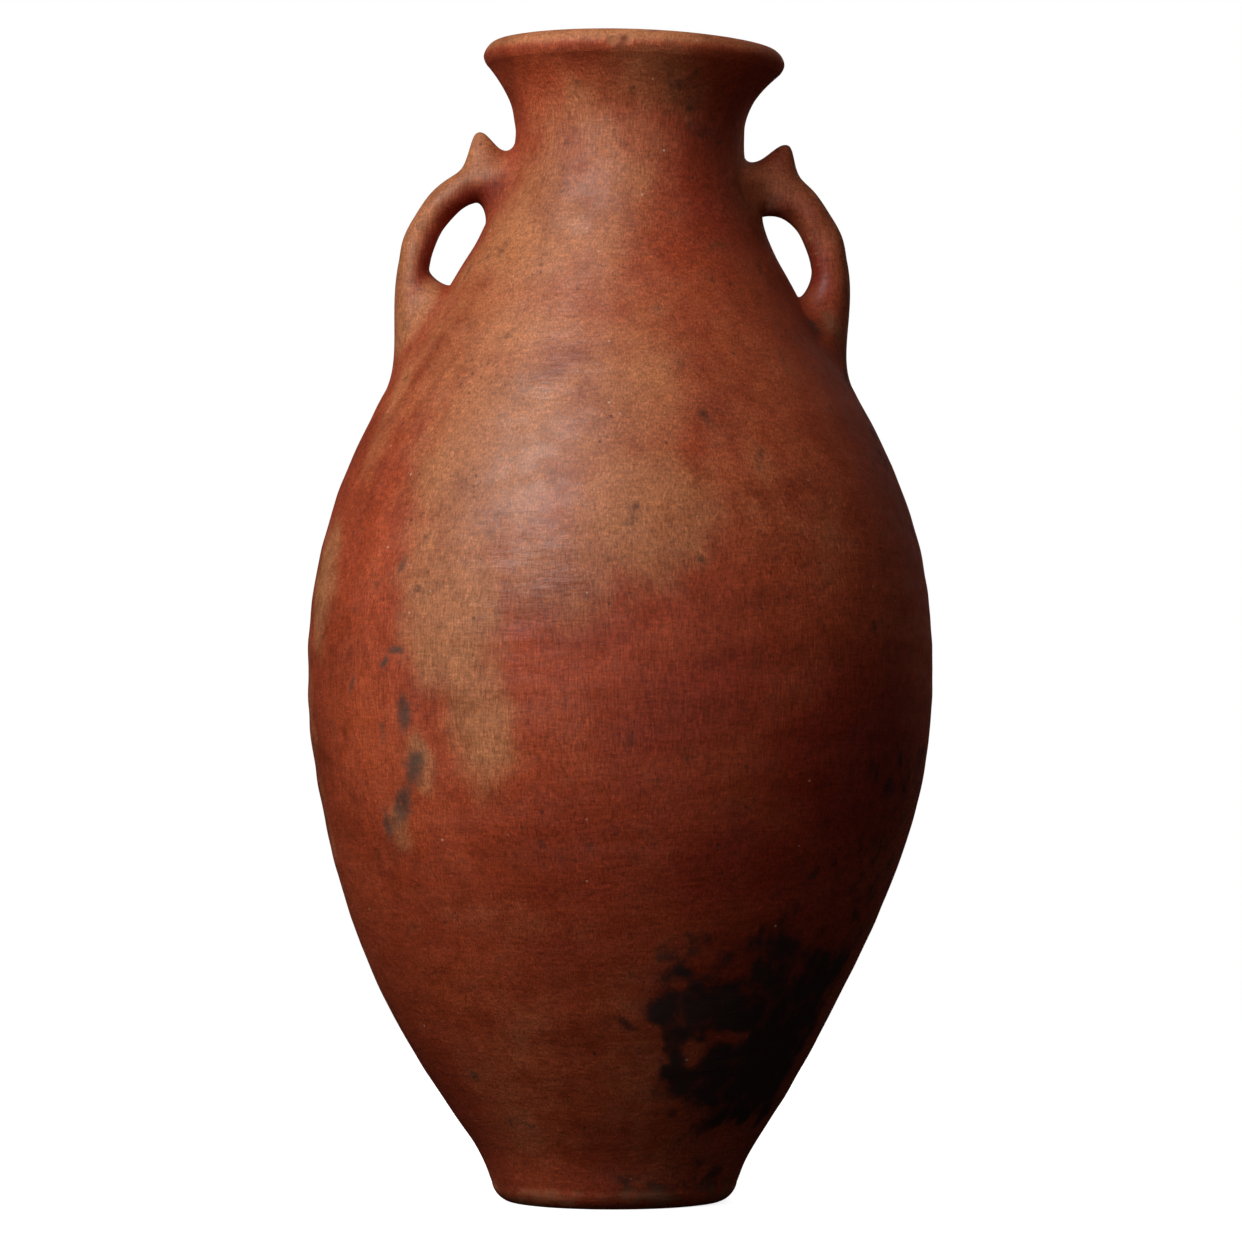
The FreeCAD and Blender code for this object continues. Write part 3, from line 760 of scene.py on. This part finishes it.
def root_rows(ring, towards, fill, way, root, half_wide, half_out, half_in, count):
    """Rows from a ring of the strap to its landing on the wall: each point runs on a cubic that leaves along
    the strap and lands along the wall, so that the clay flows into it, with both slopes as long as a share
    of the gap. fill, 0 to 1, shortens both on the strap's inner side. Two sunk rings and a pole close it."""
    edge = landing(way, root, half_wide, half_out, half_in, 1.0, SKIN_SINK)
    outwards = landing(way, root, half_wide, half_out, half_in, 1.02, SKIN_SINK) - edge
    gap = np.linalg.norm(edge - ring, axis=1, keepdims=True)
    share = np.linspace(0, 1, count)[1:, None, None]
    turn = np.linspace(0, 2 * math.pi, SECTION, endpoint=False)[:, None]
    inner = fill * ease(-np.sin(turn) - 0.1)
    along = outwards / np.linalg.norm(outwards, axis=1, keepdims=True)
    leave, land = gap * (1.2 - 0.75 * inner), gap * (0.9 - 0.7 * inner)
    rows = hermite(ring, towards * leave, edge, along * land, share)
    sunk = [landing(way, root, half_wide, half_out, half_in, s, d * MM) for s, d in ((1.0, 2.5), (0.5, 3.0))]
    pole = landing(way, root, half_wide, half_out, half_in, 0.0, 3.0 * MM)[0]
    return np.concatenate([rows, sunk]), pole


def handle(side, way, thickness, bow, swell, horn_out, horn_rise, horn_lean, ochre, roots, fills, material):
    """One handle: an oval section carried along its path, two roots that flow into the wall, and a horn
    pushed up out of its upper bend. It is cut into the strap and the two root wads."""
    reach = along_wall(np.array(LOWER_ROOT), *OUTLINE) - STRAP_SET_BACK - THROAT_RADIUS
    flat = np.stack([
        THROAT_RADIUS + STRAP_PATH[:, 0] * reach,
        UPPER_ROOT - STRAP_PATH[:, 1] * HANDLE_HEIGHT,
    ], -1)
    path = smooth_path(flat, PATH_RINGS)
    ahead = np.gradient(path, axis=0)
    ahead /= np.linalg.norm(ahead, axis=1, keepdims=True)
    bent = np.sin(math.pi * np.clip(np.linspace(0, 1.9, len(path)), 0, 1))
    bowed = bent[:, None] * np.stack([-ahead[:, 1], ahead[:, 0]], -1)
    path = path + bow * MM * bowed
    path, ahead = path[STRAP_START:STRAP_END + 1], ahead[STRAP_START:STRAP_END + 1]
    turn = np.linspace(0, 2 * math.pi, SECTION, endpoint=False)[None, :]
    along = np.arange(len(path))[:, None] / len(path)
    uneven = 1 + 0.02 * np.cos(3 * turn + 9 * along) + 0.02 * np.cos(2 * turn - 14 * along + 1)
    wide = STRAP_WIDTH / 2 * np.sign(np.cos(turn)) * np.abs(np.cos(turn)) ** 0.88 * uneven
    thick = thickness * MM / 2 * np.sign(np.sin(turn)) * np.abs(np.sin(turn)) ** 0.92 * uneven
    thick = thick * (1 + swell * np.exp(-((along / SWELL_REACH) ** 2)) * (np.sin(turn) < 0))
    centre = middle(LOWER_ROOT)
    x = centre + way * (path[:, 0][:, None] - ahead[:, 1][:, None] * thick)
    z = path[:, 1][:, None] + ahead[:, 0][:, None] * thick
    strap = np.stack([x, np.broadcast_to(wide, x.shape), z], -1)
    to_neck = np.array((-way * ahead[0, 0], 0, -ahead[0, 1]))
    to_shoulder = np.array((way * ahead[-1, 0], 0, ahead[-1, 1]))
    roots = [reach_up * MM for reach_up in roots]
    upper_rows, upper_pole = root_rows(
        strap[0], to_neck, fills[0], way, UPPER_ROOT, UPPER_HALF_WIDTH, *roots[:2], UPPER_ROWS
    )
    lower_rows, lower_pole = root_rows(
        strap[-1], to_shoulder, fills[1], way, LOWER_LANDING, LOWER_HALF_WIDTH, *roots[2:], LOWER_ROWS
    )
    rows = np.concatenate([upper_rows[::-1], strap, lower_rows])
    outer_side = ease(1.6 * np.sin(turn))
    seat_x = centre + way * horn_out * MM
    off_x, off_y = (rows[..., 0] - seat_x) * way / MM, rows[..., 1] / MM
    width = np.where(off_x > 0, HORN_OUTWARDS, HORN_INWARDS)
    bump = np.exp(-(np.hypot(off_x / width, off_y / HORN_ACROSS) ** 2.2)) * outer_side * horn_rise * MM
    above = rows[..., 2] > UPPER_ROOT - 12 * MM
    bump = np.where(above, bump, 0)
    rows = rows + bump[..., None] * np.array((way * horn_lean, 0, 1.0))
    first, last = len(upper_rows), len(upper_rows) + len(strap) - 1
    cuts = (
        ("upper_wad", rows[:first + 1], (upper_pole, rows[first].mean(0)), ("upper_wad", "horn")),
        ("strap", rows[first:last + 1], (rows[first].mean(0), rows[last].mean(0)), ("strap",)),
        ("lower_wad", rows[last:], (rows[last].mean(0), lower_pole), ("lower_wad",)),
    )
    # Marks, by the share of the way along the handle from the neck and by the side of the section.
    out, front = np.sin(turn), -np.cos(turn)
    share = np.arange(len(rows))[:, None] / len(rows)
    free = ease(share * 5) * ease((1 - share) * 2.6)
    tongue = np.exp(-(((share - 0.80) / 0.10) ** 2)) * ease(front + 0.2)
    chips = sum(
        np.exp(-(((share - at) / 0.012) ** 2 + ((np.cos(turn) + 0.8) / 0.2) ** 2)) * (out < 0.1)
        for at in (0.50, 0.57, 0.62)
    )
    # Painted shade: the strap's inner side just under the upper root is darkened, stored with the soot.
    crook_painted_shade = np.exp(-(((share - 0.27) / 0.10) ** 2)) * ease(-out + 0.2)
    marks = {
        # The ochre is the handle's own slip, but it is laid mostly on the outer side as painted light; the
        # deep red on the inner side, towards the wall, is painted shade.
        "tan": np.maximum(ochre * free * (0.3 + 0.7 * ease(out + 0.6)), ochre * tongue),
        "deep_red_and_painted_shade": 0.8 * free * ease(0.5 - out),
        "soot_and_painted_shade": 0.5 * crook_painted_shade + 0 * share,
        "worn": np.maximum(0.55 * free * ease((bump / MM - 6) / 6), (1.1 - ochre) * (0.5 * tongue + chips)),
    }
    starts = {"upper_wad": 0, "strap": first, "lower_wad": last}
    for name, grid, poles, nodes in cuts:
        piece = closed_piece(f"{side}_handle_{name}_smoothed", grid, np.array(poles))
        span = slice(starts[name], starts[name] + len(grid))
        paint(piece, **{mark: np.append(value[span].ravel(), (0.0, 0.0)) for mark, value in marks.items()})
        stand(piece, "handle_slip", material, *(f"{side}_handle_{node}" for node in nodes))


# ---- The studio ----


# Each lamp: its name, its direction from the middle of the jar, its distance, its size and its power.
LAMPS = (
    ("key", (-0.49, -0.62, 0.65), 1.9, (1.0, 1.35), 31.0),
    ("side", (-0.93, -0.30, 0.22), 2.2, (1.4, 1.4), 7.0),
    ("fill", (0.25, -0.95, 0.12), 2.7, (2.2, 2.2), 9.0),
    ("back", (0.36, 0.88, 0.40), 2.6, (1.8, 1.8), 30.0),
)
SURROUND_LOW, SURROUND_HIGH = (0.004, 0.004, 0.004, 1), (0.052, 0.047, 0.040, 1)
FLOOR_HALF, FLOOR_FADE = 6.0, (0.45, 1.5)
FOCAL_LENGTH, CAMERA_AT = 173.9, (0.0003, -3.117, 0.3004)


def studio():
    """Pale floor that fades into a white surround, a large soft key light from the upper left, a weak light
    from the left, a soft one from the front and one from behind, and the camera."""
    scene = bpy.context.scene
    floor_mesh = bpy.data.meshes.new("floor")
    corners = [(x * FLOOR_HALF, y * FLOOR_HALF, 0) for x, y in ((-1, -1), (1, -1), (1, 1), (-1, 1))]
    floor_mesh.from_pydata(corners, [], [(0, 1, 2, 3)])
    floor = bpy.data.objects.new("floor", floor_mesh)
    scene.collection.objects.link(floor)
    pale = bpy.data.materials.new("pale_floor")
    pale.use_nodes = True
    tree = pale.node_tree
    surface = tree.nodes["Principled BSDF"]
    surface.inputs["Base Color"].default_value = (0.86, 0.86, 0.86, 1)
    surface.inputs["Roughness"].default_value = 0.9
    surface.inputs["Emission Color"].default_value = (1, 1, 1, 1)
    surface.inputs["Emission Strength"].default_value = 0.85
    place = add(tree, "ShaderNodeTexCoord").outputs["Object"]
    distance = add(tree, "ShaderNodeVectorMath", {0: place}, operation="LENGTH").outputs["Value"]
    fade = between(tree, distance, *FLOOR_FADE)
    clear = add(tree, "ShaderNodeBsdfTransparent").outputs[0]
    mixed = add(tree, "ShaderNodeMixShader", {0: fade, 1: surface.outputs[0], 2: clear}).outputs[0]
    tree.links.new(mixed, tree.nodes["Material Output"].inputs["Surface"])
    floor_mesh.materials.append(pale)
    floor.visible_diffuse = False
    floor.visible_glossy = False

    world = bpy.data.worlds.new("white_surround")
    scene.world = world
    world.use_nodes = True
    tree = world.node_tree
    seen = add(tree, "ShaderNodeLightPath").outputs["Is Camera Ray"]
    aim = add(tree, "ShaderNodeTexCoord").outputs["Generated"]
    up = add(tree, "ShaderNodeSeparateXYZ", {0: aim}).outputs["Z"]
    soft = blend_colour(tree, between(tree, up, -0.5, 0.7), SURROUND_LOW, SURROUND_HIGH)
    glow = blend_colour(tree, seen, soft, (1, 1, 1, 1))
    tree.links.new(glow, tree.nodes["Background"].inputs["Color"])

    middle_of_jar = Vector((0, 0, BELLY))
    for name, aim, distance, size, power in LAMPS:
        light = bpy.data.lights.new(name, "AREA")
        light.shape = "RECTANGLE"
        light.size, light.size_y = size
        light.energy = power
        lamp = bpy.data.objects.new(name, light)
        lamp.location = middle_of_jar + distance * Vector(aim).normalized()
        lamp.rotation_euler = (middle_of_jar - lamp.location).to_track_quat("-Z", "Y").to_euler()
        lamp.visible_glossy = name == "key"
        scene.collection.objects.link(lamp)

    camera_data = bpy.data.cameras.new("camera")
    camera_data.sensor_width = 36
    camera_data.lens = FOCAL_LENGTH
    camera = bpy.data.objects.new("camera", camera_data)
    camera.location = CAMERA_AT
    camera.rotation_euler = (math.pi / 2, 0, 0)
    scene.collection.objects.link(camera)
    scene.camera = camera
    scene.view_settings.view_transform = "Standard"


def main():
    wall = burnished_slip("burnished_wall_slip", 0.43, 0.5)
    base_disc(burnished_slip("worn_foot_clay", 0.52, 0.35))
    for name, (low, high) in COURSES.items():
        course(name, low, high, wall)
    lip_coil(burnished_slip("rubbed_lip_slip", 0.46, 0.25))
    handle_slip = burnished_slip("finger_smoothed_handle_slip", 0.52, 0.25)
    for sizes in HANDLES:
        handle(**sizes, material=handle_slip)
    studio()
    bpy.context.view_layer.update()


main()
